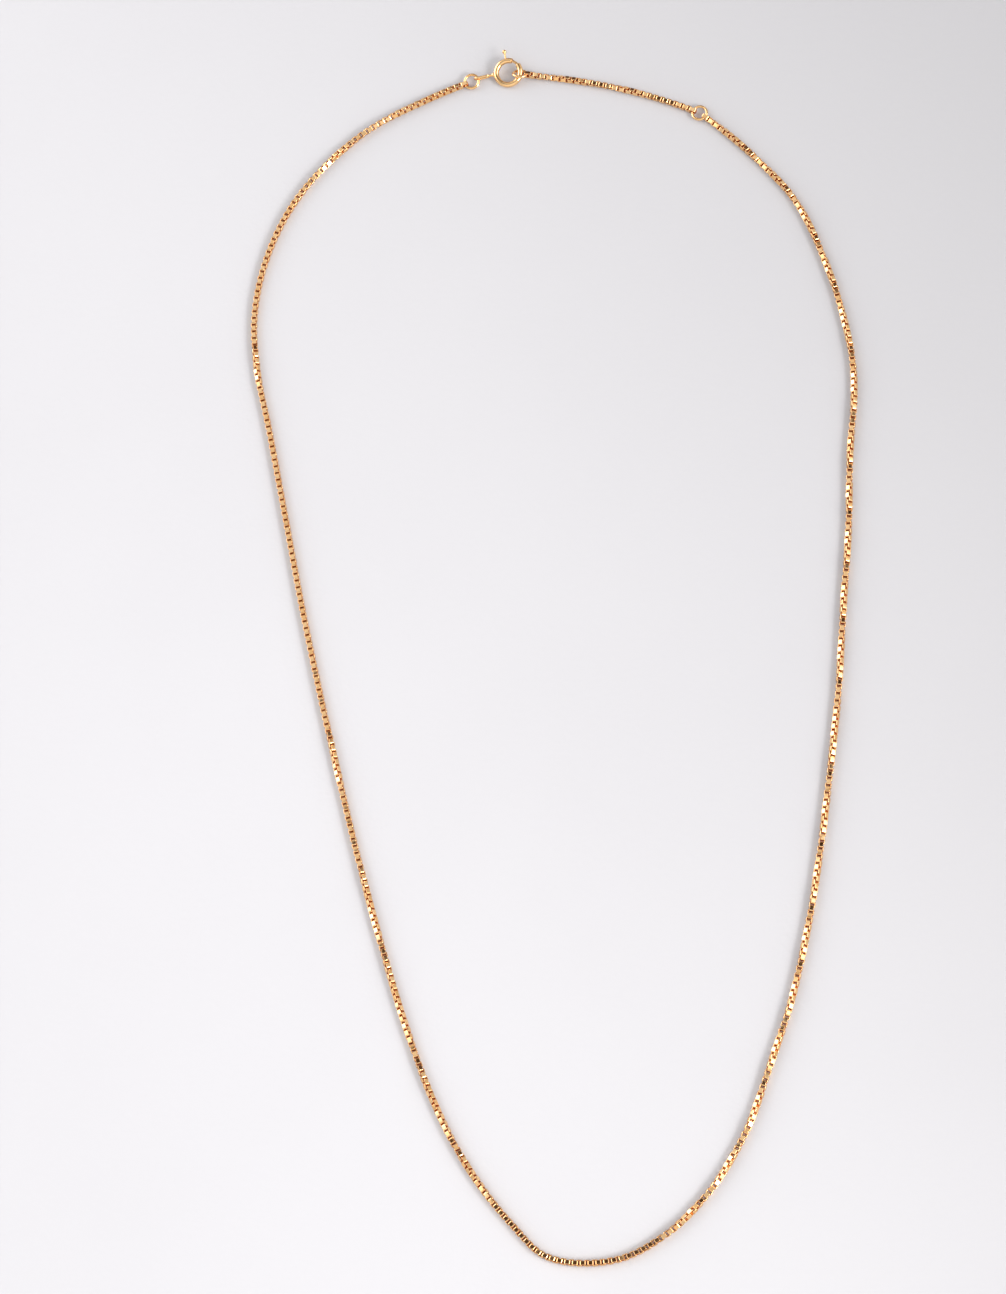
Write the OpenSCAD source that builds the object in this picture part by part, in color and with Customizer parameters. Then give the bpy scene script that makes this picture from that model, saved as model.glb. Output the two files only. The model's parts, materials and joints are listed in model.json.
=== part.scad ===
// Fine box chain necklace with a spring ring clasp and an extender,
// laid on a flat surface as a closed loop. Millimetres, +Z up.
// The origin is under the middle of the loop, on the surface.

/* [Box links] */
// Width across a box link
link_w = 1.0; // [0.94:0.02:1.1]
// Outside length of a box link
link_l = 1.0; // [0.92:0.02:1.1]
// Thickness of the strip that a link is bent from
link_t = 0.12; // [0.1:0.01:0.14]
// Width of that strip
strip_w = 0.5; // [0.4:0.02:0.54]
// Outside radius of a link's four bends
bend_r = 0.24; // [0.18:0.02:0.3]
// Play between two linked links, along the chain
link_play = 0.16; // [0.1:0.02:0.18]

/* [How the chain lies] */
// Length of the loop on the surface
loop_l = 204; // [190:2:220]
// Width of the loop on the surface
loop_w = 100; // [90:2:110]
// Height of the chain's middle above the surface
chain_z = 0.57; // [0.57:0.01:0.62]
// Half turns of twist along the extender
extender_half_turns = 1; // [0:1:2]
// Links shown one by one at each end of the main chain
end_links = 4; // [2:1:8]

/* [Jump rings] */
// Outside diameter of the three jump rings
ring_od = 2.8; // [2.6:0.05:3.2]
// Wire diameter of the jump rings
ring_wire = 0.45; // [0.35:0.05:0.5]
// Tilt of the end ring, which leans through the clasp
end_ring_tilt = 40; // [34:1:50]
// Roll of the clasp's jump ring about the line of the chain
jump_ring_roll = 8; // [0:1:12]
// Bearing from that ring's centre to the clasp's eye
jump_ring_bearing = 22; // [16:1:30]

/* [Spring ring clasp] */
// Outside diameter of the clasp
clasp_od = 5.0; // [4.8:0.1:6]
// Outside diameter of the clasp's tube
tube_d = 0.9; // [0.84:0.02:0.96]
// Wall of the tube
tube_wall = 0.14; // [0.1:0.01:0.18]
// Where the mouth starts, counted round the clasp
mouth_from = 36; // [30:1:40]
// Where the mouth ends, on the trigger's side
mouth_to = 69; // [62:1:74]
// Lean of the clasp about X, away from the trigger
clasp_lean_x = 12; // [8:1:14]
// Lean of the clasp about Y, towards the eye
clasp_lean_y = -2.1; // [-4:0.1:-1]
// Place of the end ring round the clasp
hook_at = -11; // [-16:1:-4]

/* [Trigger] */
// Place of the trigger round the clasp, mouth closed
trigger_at = 98; // [92:1:106]
// Arc of the bolt that reaches into the far end of the tube
bolt_reach = 8; // [5:1:12]
// Arc of the bolt behind the trigger
bolt_tail = 8; // [5:1:12]
// Diameter of the trigger's stem
stem_d = 0.3; // [0.24:0.02:0.4]
// Diameter of the trigger's ball
ball_d = 0.7; // [0.6:0.05:0.9]
// Height of the ball's centre above the tube
ball_rise = 1.16; // [0.9:0.02:1.4]

/* [Eye] */
// Place of the eye round the clasp
eye_at = 183; // [178:1:190]
// Bearing of the eye, seen on the clasp
eye_bearing = 187; // [182:1:192]
// Outside length of the eye
eye_l = 2.9; // [2.5:0.1:3.2]
// Outside height of the eye
eye_h = 1.4; // [1.3:0.05:1.6]
// Wire diameter of the eye
eye_wire = 0.35; // [0.3:0.05:0.4]
// Length of the neck between the tube and the eye
neck_l = 0.55; // [0.4:0.05:0.9]
// Diameter of the neck
neck_d = 0.46; // [0.4:0.02:0.6]
// Diameter of the bead of solder at the neck's root
bead_d = 0.76; // [0.6:0.02:0.9]

/* [Clearances] */
// Gap between two pieces that are linked
gap = 0.13; // [0.1:0.01:0.14]
// Running gap round the bolt and round its stem
bolt_gap = 0.08; // [0.05:0.01:0.1]

/* [Hidden] */
gold = [0.86, 0.66, 0.36];
round_fn = 48;
// Width and length of the loop that the points below are given for
DRAWN_LOOP = [100, 204];
// Points of the main chain's route, from the extension ring clockwise to the
// last one before the clasp's jump ring
MAIN_ROUTE = [
    [25.4, 87.9], [34.0, 79.5], [41.0, 70.5], [45.0, 61.0], [48.0, 50.5],
    [49.5, 41.0], [48.5, 24.5], [48.0, 13.0], [47.0, 2.0], [45.5, -15.5],
    [44.0, -27.0], [42.5, -37.5], [40.0, -51.5], [37.0, -63.5], [34.0, -72.0],
    [29.5, -83.5], [23.5, -92.5], [17.5, -98.0], [10.5, -101.5], [7.0, -102.0],
    [-1.5, -100.5], [-6.0, -96.0], [-13.5, -86.0], [-19.0, -75.0], [-23.0, -64.0],
    [-27.5, -49.0], [-31.0, -36.0], [-34.5, -21.5], [-37.5, -8.5], [-40.5, 5.5],
    [-43.5, 21.0], [-46.5, 36.5], [-49.0, 49.0], [-49.5, 56.5], [-47.5, 68.0],
    [-43.0, 77.5], [-36.5, 85.0], [-30.0, 90.0], [-21.5, 94.0]];
// Points of the extender's route between the end ring and the extension ring
EXTENDER_ROUTE = [[2.0, 96.3], [8.0, 94.8], [14.0, 92.9], [20.0, 90.5]];
// Centre of the end ring, seen from above
END_RING_XY = [-4.6, 97.6];

// Rings
ring_rc = (ring_od - ring_wire) / 2;
extension_ring_at = [each on_loop(MAIN_ROUTE[0]), chain_z];
end_ring_at = [each on_loop(END_RING_XY), ring_wire / 2 + ring_rc * sin(end_ring_tilt)];
// Clasp
clasp_rc = (clasp_od - tube_d) / 2;
bolt_d = tube_d - 2 * tube_wall - 2 * bolt_gap;
bolt_tip = mouth_from - bolt_reach;
trigger_travel = mouth_to - bolt_tip;
slot_half = asin((stem_d / 2 + bolt_gap) / (clasp_rc + tube_d / 2 - tube_wall));
clasp_at = end_ring_at - lean(clasp_rc * on_circle(hook_at));
eye_root = clasp_od / 2 * on_circle(eye_at);
eye_mid = eye_root + (neck_l + eye_l / 2) * on_circle(eye_bearing);
// The clasp's jump ring hangs in the outer end of the eye
ring_in_eye = eye_mid
    + (eye_l / 2 - eye_wire - gap - ring_wire * 0.53) * on_circle(eye_bearing);
eye_hold = clasp_at + lean(ring_in_eye);
jump_pitch = asin((eye_hold.z - chain_z) / 2 / ring_rc);
jump_line = rotate_z(jump_ring_bearing, [cos(jump_pitch), 0, sin(jump_pitch)]);
jump_ring_at = eye_hold - ring_rc * jump_line;
// Chain
pitch = link_l - 2 * link_t - link_play;
// How far a ring's wire bows away over half the width of an end link
ring_bow = ring_rc - sqrt(ring_rc ^ 2 - strip_w ^ 2 / 4);
end_link_l = ring_wire + ring_bow + 3 * link_t + 3 * gap;
first_at = ring_rc - ring_wire / 2 - ring_bow - gap - link_t + end_link_l / 2;
second_at = ring_od / 2 + gap + link_l / 2;
corner_steps = 2;
route_steps = 12;
tube_rings = 80;
tube_sides = 8;
MAIN_PATH = path_table(concat([for (p = MAIN_ROUTE) [each on_loop(p), chain_z]],
                              [[jump_ring_at.x, jump_ring_at.y, chain_z]]));
// The extender comes down from the leaning end ring in its first quarter
EXTENDER_PATH = path_table(concat([end_ring_at],
    [for (i = [0:len(EXTENDER_ROUTE) - 1])
     [each on_loop(EXTENDER_ROUTE[i]), chain_z + (i == 0 ? (end_ring_at.z - chain_z) / 4 : 0)]],
    [extension_ring_at]));

// A point of the routes, fitted to the loop's width and length
function on_loop(p) = [p.x * loop_w / DRAWN_LOOP.x, p.y * loop_l / DRAWN_LOOP.y];
// A unit vector in the XY plane
function on_circle(a) = [cos(a), sin(a), 0];
function rotate_z(a, p) = [p.x * cos(a) - p.y * sin(a), p.x * sin(a) + p.y * cos(a), p.z];
function rotate_y(a, p) = [p.x * cos(a) + p.z * sin(a), p.y, p.z * cos(a) - p.x * sin(a)];
function rotate_x(a, p) = [p.x, p.y * cos(a) - p.z * sin(a), p.y * sin(a) + p.z * cos(a)];
// From the clasp's own plane to the way it leans on the surface
function lean(p) = rotate_y(clasp_lean_y, rotate_x(clasp_lean_x, p));
function unit(v) = v / norm(v);

// A smooth curve through a route's points, one cubic for each span
function chord(p, i) = unit(p[i + 1] - p[i]);
function inner_slope(p, i) =
    let (a = norm(p[i] - p[i - 1]), b = norm(p[i + 1] - p[i]))
    (chord(p, i - 1) * b + chord(p, i) * a) / (a + b);
function slope(p, i) =
    i == 0 ? 2 * chord(p, 0) - inner_slope(p, 1)
    : i == len(p) - 1 ? 2 * chord(p, i - 1) - inner_slope(p, i - 1)
    : inner_slope(p, i);
function on_span(p, i, t) =
    let (h = norm(p[i + 1] - p[i]))
    (2 * t ^ 3 - 3 * t ^ 2 + 1) * p[i] + (t ^ 3 - 2 * t ^ 2 + t) * h * slope(p, i)
    + (3 * t ^ 2 - 2 * t ^ 3) * p[i + 1] + (t ^ 3 - t ^ 2) * h * slope(p, i + 1);
function curve(p) =
    [for (i = [0:len(p) - 2]) for (k = [0:route_steps - 1]) on_span(p, i, k / route_steps),
     p[len(p) - 1]];
function run_lengths(q) =
    [for (i = 0, s = 0; i < len(q); i = i + 1,
          s = s + (i < len(q) ? norm(q[i] - q[i - 1]) : 0)) s];
// X, Y and Z against the length run, then the whole length
function path_table(p) =
    let (q = curve(p), s = run_lengths(q))
    [for (axis = [0:2]) [for (i = [0:len(q) - 1]) [s[i], q[i][axis]]], s[len(s) - 1]];
function path_length(path) = path[3];
function path_at(path, s) = [for (axis = [0:2]) lookup(s, path[axis])];
function heading(path, s) = unit(path_at(path, s + 0.3) - path_at(path, s - 0.3));
function leftward(t) = unit([-t.y, t.x, 0]);

// Rounded box outline of a link: one point list, anticlockwise
function box_outline(l, w, r) =
    [for (c = [0:3]) let (sx = (c == 0 || c == 3) ? 1 : -1, sy = c < 2 ? 1 : -1)
     for (k = [0:corner_steps]) let (a = 90 * c + 90 * k / corner_steps)
     [sx * (l / 2 - r) + r * cos(a), sy * (w / 2 - r) + r * sin(a)]];
// The points of one link. at is its middle, t the chain's heading there,
// n the axis of its window, m the direction across it
function link_points(at, t, n, m, l) =
    let (outer = box_outline(l, link_w, bend_r),
         inner = box_outline(l - 2 * link_t, link_w - 2 * link_t, bend_r - link_t),
         h = strip_w / 2)
    [for (i = [0:len(outer) - 1])
     for (q = [[outer[i], h], [outer[i], -h], [inner[i], -h], [inner[i], h]])
     at + t * q[0].x + m * q[0].y + n * q[1]];
link_size = 16 * (corner_steps + 1);
function link_faces(first) =
    [for (i = [0:link_size / 4 - 1]) for (k = [0:3])
     let (a = 4 * i + k, b = 4 * i + (k + 1) % 4)
     [first + a, first + (a + 4) % link_size, first + (b + 4) % link_size, first + b]];
// Links along a path. places holds a length run, a turn about the path and an
// outside length for each
module links(path, places) {
    polyhedron(
        points = [for (q = places)
            let (t = heading(path, q[0]), l = leftward(t), u = cross(t, l),
                 n = l * cos(q[1]) + u * sin(q[1]))
            each link_points(path_at(path, q[0]), t, n, cross(n, t), q[2])],
        faces = [for (k = [0:len(places) - 1]) each link_faces(k * link_size)],
        convexity = 10);
}

// The first links at a ring, counted from it: the end link holds the ring
function end_place(k) = k == 0 ? first_at : second_at + (k - 1) * pitch;
function end_length(k) = k == 0 ? end_link_l : link_l;

module main_chain() {
    whole = path_length(MAIN_PATH);
    tube_from = end_place(end_links - 1) + link_l / 2 + gap;
    color(gold) {
        chain_tube(MAIN_PATH, tube_from, whole - tube_from);
        links(MAIN_PATH, [for (k = [0:end_links - 1])
            [end_place(k), 90 * k, end_length(k)]]);
        links(MAIN_PATH, [for (k = [0:end_links - 1])
            [whole - end_place(k), 90 * k + jump_ring_roll * (1 - k / end_links), end_length(k)]]);
    }
}

// Outer form of the chain between two lengths run
module chain_tube(path, from, to) {
    r = chain_z / cos(180 / tube_sides);
    last = tube_rings - 1;
    polyhedron(
        points = [for (k = [0:last])
            let (s = from + (to - from) * k / last, t = heading(path, s),
                 l = leftward(t), u = cross(t, l))
            for (j = [0:tube_sides - 1])
            let (a = 360 * (j + 0.5) / tube_sides)
            path_at(path, s) + r * (l * cos(a) + u * sin(a))],
        faces = concat(
            [[for (j = [0:tube_sides - 1]) j]],
            [for (k = [0:last - 1]) for (j = [0:tube_sides - 1])
             let (a = k * tube_sides + j, b = k * tube_sides + (j + 1) % tube_sides)
             [a, a + tube_sides, b + tube_sides, b]],
            [[for (j = [tube_sides - 1:-1:0]) last * tube_sides + j]]),
        convexity = 10);
}

module extender_chain() {
    whole = path_length(EXTENDER_PATH);
    run = whole - 2 * second_at;
    // An even number of steps leaves both end links square to their rings
    steps = 2 * round(run / pitch / 2);
    last = steps + 2;
    twist = 180 * extender_half_turns + end_ring_tilt;
    color(gold) links(EXTENDER_PATH, [for (k = [0:last])
        let (s = k == 0 ? first_at : k == last ? whole - first_at
                 : second_at + (k - 1) * run / steps)
        [s, twist * k / last - end_ring_tilt + 90 * k, k % last == 0 ? end_link_l : link_l]]);
}

// A jump ring in the XY plane, centred
module plain_ring() {
    rotate_extrude($fn = round_fn) translate([ring_rc, 0]) circle(d = ring_wire, $fn = 24);
}

module extension_ring() {
    color(gold) translate(extension_ring_at) plain_ring();
}

module end_ring() {
    t = heading(EXTENDER_PATH, 0.3);
    color(gold) translate(end_ring_at)
        rotate([0, 0, atan2(t.y, t.x)]) rotate([0, -asin(t.z), 0]) rotate([-end_ring_tilt, 0, 0])
        plain_ring();
}

module jump_ring() {
    color(gold) translate(jump_ring_at)
        rotate([0, 0, jump_ring_bearing]) rotate([0, -jump_pitch, 0]) rotate([jump_ring_roll, 0, 0])
        plain_ring();
}

// Part of a ring-shaped rod round the clasp's middle
module clasp_arc(from, to, d) {
    rotate([0, 0, from]) rotate_extrude(angle = to - from, $fn = round_fn)
        translate([clasp_rc, 0]) circle(d = d, $fn = 32);
}

module clasp_place() {
    translate(clasp_at) rotate([clasp_lean_x, clasp_lean_y, 0]) children();
}

// Long upright loop of wire, its length along X, centred
module eye_loop() {
    end_r = (eye_h - eye_wire) / 2;
    straight = eye_l - eye_h;
    rotate([90, 0, 0]) for (side = [0, 180]) rotate([0, 0, side]) {
        translate([straight / 2, 0, 0]) rotate([0, 0, -90])
            rotate_extrude(angle = 180, $fn = round_fn)
            translate([end_r, 0]) circle(d = eye_wire, $fn = 24);
        translate([-straight / 2, end_r, 0]) rotate([0, 90, 0])
            cylinder(d = eye_wire, h = straight, $fn = 24);
    }
}

module clasp_body() {
    color(gold) clasp_place() difference() {
        union() {
            clasp_arc(mouth_to, mouth_from + 360, tube_d);
            translate(eye_root) rotate([0, 0, eye_bearing]) rotate([0, 90, 0]) {
                sphere(d = bead_d, $fn = 32);
                cylinder(d = neck_d, h = neck_l + eye_wire / 2, $fn = 32);
            }
            translate(eye_mid) rotate([0, 0, eye_bearing]) eye_loop();
        }
        clasp_arc(mouth_to - 1, mouth_from + 361, tube_d - 2 * tube_wall);
        rotate([0, 0, trigger_at - slot_half])
            rotate_extrude(angle = trigger_travel + 2 * slot_half, $fn = round_fn)
            translate([clasp_rc, -stem_d / 2 - bolt_gap]) square([tube_d, stem_d + 2 * bolt_gap]);
    }
}

module clasp_bolt() {
    ball_r = clasp_od / 2 + ball_rise;
    color(gold) clasp_place() {
        clasp_arc(bolt_tip, trigger_at + bolt_tail, bolt_d);
        rotate([0, 0, trigger_at]) {
            translate([clasp_rc, 0, 0]) rotate([0, 90, 0])
                cylinder(d = stem_d, h = ball_r - clasp_rc, $fn = 24);
            translate([ball_r, 0, 0]) sphere(d = ball_d, $fn = 32);
        }
    }
}

main_chain();
extender_chain();
extension_ring();
end_ring();
jump_ring();
clasp_body();
clasp_bolt();
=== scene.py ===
"""Looks of a fine box chain necklace, lying on a pale surface as a closed loop.

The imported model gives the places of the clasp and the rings. Around them this
script draws every link of the chain, the jump rings and the spring ring clasp,
finishes them in polished gold, and lights them with soft studio light.
Pieces are shaped in millimetres and put into the frame, in metres, at the end.
"""

import bisect
import itertools
import json
import logging
import math
import random
from dataclasses import dataclass, field
from enum import Enum
from typing import Iterable, NamedTuple, Sequence

import bmesh
import bpy
from mathutils import Euler, Matrix, Vector


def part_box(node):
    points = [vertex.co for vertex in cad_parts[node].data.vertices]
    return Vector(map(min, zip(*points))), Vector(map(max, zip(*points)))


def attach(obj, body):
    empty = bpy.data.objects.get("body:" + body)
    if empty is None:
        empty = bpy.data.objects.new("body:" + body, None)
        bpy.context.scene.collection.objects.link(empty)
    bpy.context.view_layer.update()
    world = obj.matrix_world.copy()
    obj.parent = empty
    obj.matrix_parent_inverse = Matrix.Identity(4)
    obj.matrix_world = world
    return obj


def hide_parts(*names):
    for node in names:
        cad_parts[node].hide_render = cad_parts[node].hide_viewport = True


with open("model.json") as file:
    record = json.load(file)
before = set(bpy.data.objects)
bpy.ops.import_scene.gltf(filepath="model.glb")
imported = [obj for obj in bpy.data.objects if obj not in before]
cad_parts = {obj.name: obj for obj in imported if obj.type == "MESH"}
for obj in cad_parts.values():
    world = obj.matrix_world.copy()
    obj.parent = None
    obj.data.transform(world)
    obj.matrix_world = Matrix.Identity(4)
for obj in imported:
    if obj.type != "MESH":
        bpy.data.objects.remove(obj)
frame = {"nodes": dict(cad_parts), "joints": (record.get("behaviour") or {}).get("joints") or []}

LOG = logging.getLogger("necklace")
MM = 0.001
# How much of a direction runs along Z where it counts as upright
UPRIGHT = 0.5
# Vertices closer than this, in millimetres, are one
MERGE = 0.0005
# Degrees that a rod bends at each of its steps, and its fewest steps
ROD_STEP, ROD_FEWEST = 3, 4
Triple = tuple[float, float, float]
Colour = Triple


class Body(Enum):
    """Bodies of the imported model."""

    NECKLACE = "necklace"
    BOLT = "bolt"


# Routes and places


# Points of the main chain, in millimetres on the surface, from the extension
# ring clockwise to the last one before the clasp's jump ring
MAIN_ROUTE = [
    (25.4, 87.9), (34.0, 79.5), (41.0, 70.5), (45.0, 61.0), (48.0, 50.5),
    (49.5, 41.0), (48.5, 24.5), (48.0, 13.0), (47.0, 2.0), (45.5, -15.5),
    (44.0, -27.0), (42.5, -37.5), (40.0, -51.5), (37.0, -63.5), (34.0, -72.0),
    (29.5, -83.5), (23.5, -92.5), (17.5, -98.0), (10.5, -101.5), (7.0, -102.0),
    (-1.5, -100.5), (-6.0, -96.0), (-13.5, -86.0), (-19.0, -75.0), (-23.0, -64.0),
    (-27.5, -49.0), (-31.0, -36.0), (-34.5, -21.5), (-37.5, -8.5), (-40.5, 5.5),
    (-43.5, 21.0), (-46.5, 36.5), (-49.0, 49.0), (-49.5, 56.5), (-47.5, 68.0),
    (-43.0, 77.5), (-36.5, 85.0), (-30.0, 90.0), (-21.5, 94.0),
]
# Points of the extender between the end ring and the extension ring
EXTENDER_ROUTE = [(2.0, 96.3), (8.0, 94.8), (14.0, 92.9), (20.0, 90.5)]
# How much of the end ring's height the extender still has at its first point
EXTENDER_LIFT = 0.25


class Turn(NamedTuple):
    """How far a chain has twisted at one place.

    Attributes:
        run: Length run along the chain, in millimetres.
        quarters: Twist there, in quarter turns. At a whole number a face of
            the chain lies flat, facing up.
    """

    run: float
    quarters: float


# Twist of both chains, as their faces flash bright or dark
MAIN_TWIST = [Turn(*pair) for pair in (
    # Down the right side, rolling inwards
    (0.0, 0.0), (12.4, 1.0), (22.2, 2.0), (32.7, 3.0), (41.6, 4.0), (53.4, 5.0),
    (65.0, 6.0), (73.2, 7.0), (80.8, 8.0), (90.2, 9.0), (99.0, 10.0), (109.5, 11.0),
    (124.7, 12.0), (135.2, 13.0), (145.4, 14.0), (154.4, 15.0), (163.3, 16.0),
    (172.8, 17.0), (182.4, 18.0), (193.0, 19.0), (195.0, 19.27), (198.0, 19.6),
    (201.0, 19.9), (203.0, 20.0),
    # Flat round the lowest links, then rolling outwards
    (222.0, 20.0), (226.0, 19.97), (230.0, 19.93), (233.5, 19.86), (236.5, 19.68),
    (239.5, 19.4), (241.0, 19.22), (242.6, 19.0), (244.0, 18.86), (248.0, 18.66),
    (253.5, 18.36), (257.0, 18.15), (259.5, 18.0), (262.0, 17.75), (268.0, 17.52),
    (273.0, 17.33), (274.8, 17.22), (276.8, 17.0), (278.5, 16.78), (284.0, 16.55),
    (288.0, 16.34), (289.7, 16.22), (291.2, 16.0),
    # Up the left side, flat for long stretches
    (303.3, 16.0), (305.8, 15.68), (310.0, 15.38), (312.6, 15.22), (313.8, 15.0),
    (374.0, 15.0), (377.0, 14.68), (380.5, 14.36), (384.0, 14.0), (411.0, 14.03),
    # Round the top to the clasp, rolling inwards again
    (414.0, 14.25), (416.2, 14.42), (418.6, 14.52), (420.0, 14.8), (422.0, 15.0),
    (428.0, 15.4), (431.0, 15.5), (432.4, 15.66), (443.0, 15.78), (444.5, 16.0),
    (446.0, 16.0),
)]
EXTENDER_TWIST = [Turn(*pair) for pair in (
    (0.0, -0.45), (5.5, 0.38), (10.0, 0.85), (12.0, 1.05), (15.5, 1.17),
    (18.5, 1.6), (21.5, 2.03), (25.5, 2.15), (29.0, 2.03), (31.5, 2.0),
)]


class Route:
    """A smooth line through chosen points, measured by the length run along it.

    Attributes:
        STEPS: Number of straight pieces between two chosen points.
        REACH: How far a heading looks to each side, in millimetres.
        points: The chosen points.
        line: Ends of the straight pieces.
        runs: Length run to each of those.
        length: Length of the whole line.
    """

    STEPS = 12
    REACH = 0.3

    def __init__(self, points: Sequence[Sequence[float]]) -> None:
        """Draws the line.

        Args:
            points: The chosen points, in millimetres.
        """
        self.points = [Vector(p) for p in points]
        self.line = [
            self._on_span(i, step / self.STEPS)
            for i in range(len(points) - 1)
            for step in range(self.STEPS)
        ] + [self.points[-1]]
        gaps = [(b - a).length for a, b in itertools.pairwise(self.line)]
        self.runs = [0.0, *itertools.accumulate(gaps)]
        self.length = self.runs[-1]

    def _chord(self, i: int) -> Vector:
        """Direction from point i to the next."""
        return (self.points[i + 1] - self.points[i]).normalized()

    def _inner_slope(self, i: int) -> Vector:
        """Slope at a point that has a neighbour on both sides.

        Args:
            i: Number of the point.

        Returns:
            The slope, nearer to the direction of the shorter side.
        """
        before = (self.points[i] - self.points[i - 1]).length
        after = (self.points[i + 1] - self.points[i]).length
        mixed = self._chord(i - 1) * after + self._chord(i) * before
        return mixed / (before + after)

    def _slope(self, i: int) -> Vector:
        """Slope of the line at a point.

        Args:
            i: Number of the point.

        Returns:
            The slope.
        """
        last = len(self.points) - 1
        if i == 0:
            return 2 * self._chord(0) - self._inner_slope(1)
        if i == last:
            return 2 * self._chord(last - 1) - self._inner_slope(last - 1)
        return self._inner_slope(i)

    def _on_span(self, i: int, t: float) -> Vector:
        """Point between two chosen points.

        Args:
            i: Number of the first of the two.
            t: Share of the way to the next.

        Returns:
            The point, on a curve with the slopes of both ends.
        """
        a, b = self.points[i], self.points[i + 1]
        size = (b - a).length
        return (
            (2 * t**3 - 3 * t**2 + 1) * a
            + (t**3 - 2 * t**2 + t) * size * self._slope(i)
            + (3 * t**2 - 2 * t**3) * b
            + (t**3 - t**2) * size * self._slope(i + 1)
        )

    def at(self, run: float) -> Vector:
        """Point on the line.

        Args:
            run: Length run to it.

        Returns:
            The point.
        """
        run = min(max(run, 0.0), self.length)
        i = min(bisect.bisect_right(self.runs, run), len(self.runs) - 1)
        share = (run - self.runs[i - 1]) / (self.runs[i] - self.runs[i - 1])
        return self.line[i - 1].lerp(self.line[i], share)

    def heading(self, run: float) -> Vector:
        """Direction of the line after a length run."""
        return (self.at(run + self.REACH) - self.at(run - self.REACH)).normalized()


def twist_at(turns: Sequence[Turn], run: float) -> float:
    """Twist of a chain at one place.

    Args:
        turns: The chain's twist at chosen places, in order.
        run: Length run along the chain, in millimetres.

    Returns:
        The twist, in radians.
    """
    i = bisect.bisect_right([t.run for t in turns], run)
    if i == 0:
        quarters = turns[0].quarters
    elif i == len(turns):
        quarters = turns[-1].quarters
    else:
        a, b = turns[i - 1], turns[i]
        quarters = a.quarters + (b.quarters - a.quarters) * (run - a.run) / (b.run - a.run)
    return quarters * math.pi / 2


def middle(node: str) -> Vector:
    """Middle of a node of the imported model, in millimetres."""
    low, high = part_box(node)
    return (low + high) / 2 / MM


def axes_at(at: Vector, x: Vector, y: Vector, z: Vector) -> Matrix:
    """Matrix that puts a piece's own axes along the given ones at a place."""
    turned = Matrix((x, y, z)).transposed().to_4x4()
    return Matrix.Translation(at) @ turned


def ring_frame(centre: Vector, normal: Vector) -> Matrix:
    """Frame at a ring's centre, with Z square to the ring and X square to the loop's Y."""
    across = Vector((0, 1, 0)).cross(normal).normalized()
    return axes_at(centre, across, normal.cross(across), normal)


def flat_frame(node: str) -> Matrix:
    """Frame of a node that is a flat ring.

    Args:
        node: Name of the ring's node.

    Returns:
        Its middle and directions in millimetres, with Z square to the ring.
    """
    centre = middle(node)
    points = [v.co / MM - centre for v in frame["nodes"][node].data.vertices]
    far = max(points, key=lambda p: p.length).normalized()
    side = max(points, key=lambda p: far.cross(p).length)
    normal = far.cross(side).normalized()
    normal *= math.copysign(1.0, normal.z)
    return ring_frame(centre, normal)


# Meshes


def turn_about_z(degrees: float) -> Matrix:
    """Rotation about Z."""
    return Matrix.Rotation(math.radians(degrees), 4, "Z")


def quarter_turn(axis: str) -> Matrix:
    """Rotation by a quarter turn about an axis."""
    return Matrix.Rotation(math.pi / 2, 4, axis)


def mesh_of(bm: bmesh.types.BMesh, name: str) -> bpy.types.Mesh:
    """Turns a bmesh into a mesh, and frees it.

    Args:
        bm: The bmesh.
        name: The mesh's name.

    Returns:
        The mesh.
    """
    mesh = bpy.data.meshes.new(name)
    bm.to_mesh(mesh)
    bm.free()
    return mesh


def shown(mesh: bpy.types.Mesh, name: str) -> bpy.types.Object:
    """Makes an object of a mesh and adds it to the scene.

    Args:
        mesh: The mesh.
        name: The object's name.

    Returns:
        The object.
    """
    piece = bpy.data.objects.new(name, mesh)
    bpy.context.scene.collection.objects.link(piece)
    return piece


def add_modifier(piece: bpy.types.Object, kind: str, **settings: object) -> None:
    """Adds a modifier to a piece.

    Args:
        piece: The piece.
        kind: The modifier's type.
        settings: Its settings.
    """
    modifier = piece.modifiers.new(kind.lower(), kind)
    for name, value in settings.items():
        setattr(modifier, name, value)


def applied(piece: bpy.types.Object) -> bpy.types.Object:
    """Bakes an object's modifiers into its mesh.

    Args:
        piece: The object.

    Returns:
        The same object.
    """
    done = bpy.data.meshes.new_from_object(
        piece.evaluated_get(bpy.context.evaluated_depsgraph_get())
    )
    piece.modifiers.clear()
    piece.data = done
    return piece


def fused(piece: bpy.types.Object, other: bpy.types.Object) -> bpy.types.Object:
    """Joins another closed shape to a piece as one skin.

    Args:
        piece: The piece.
        other: The other shape, which is removed.

    Returns:
        The piece.
    """
    add_modifier(piece, "BOOLEAN", operation="UNION", solver="EXACT", object=other)
    applied(piece)
    bpy.data.objects.remove(other)
    return piece


def verts_in(parts: Iterable) -> list[bmesh.types.BMVert]:
    """The vertices among some parts of a mesh."""
    return [part for part in parts if isinstance(part, bmesh.types.BMVert)]


def edges_in(parts: Iterable) -> list[bmesh.types.BMEdge]:
    """The edges among some parts of a mesh."""
    return [part for part in parts if isinstance(part, bmesh.types.BMEdge)]


def edge_direction(edge: bmesh.types.BMEdge) -> Vector:
    """Direction of an edge."""
    return (edge.verts[0].co - edge.verts[1].co).normalized()


def soften(bm: bmesh.types.BMesh, limit: float) -> None:
    """Shades a mesh smooth, apart from edges that turn by more than a limit.

    Args:
        bm: The mesh.
        limit: The angle past which an edge stays sharp, in degrees.
    """
    for face in bm.faces:
        face.smooth = True
    for edge in bm.edges:
        edge.smooth = edge.calc_face_angle(math.pi) < math.radians(limit)


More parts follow.
